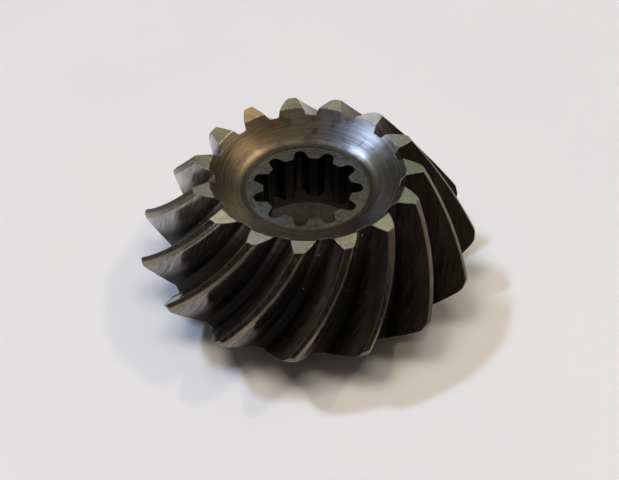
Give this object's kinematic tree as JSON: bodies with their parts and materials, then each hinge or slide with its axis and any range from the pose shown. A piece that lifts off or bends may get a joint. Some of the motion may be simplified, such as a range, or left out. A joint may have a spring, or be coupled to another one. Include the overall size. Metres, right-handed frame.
{
  "type": "spiral bevel pinion",
  "caption": "Small spiral bevel pinion with curved right-hand teeth on a pressed-in splined hub, which takes drive from a shaft and turns it through an angle.",
  "frame": {"origin": "on the gear's axis, in the plane of the hub's rear face, which the pinion rests on", "axes": "+Z along the gear's axis, from the large end (heel) to the small end (toe)"},
  "size_m": [0.0515, 0.0518, 0.022],
  "materials": {
    "gear_steel": "dark oxidised case-hardened steel, satin, turned on the end faces and worn brighter along the tooth edges",
    "hub_steel": "dark grey satin steel, ground on the upper end face and dull inside the bore"
  },
  "bodies": {
    "root": {"bevel_gear": "gear_steel", "spline_hub": "hub_steel"}
  },
  "joints": []
}
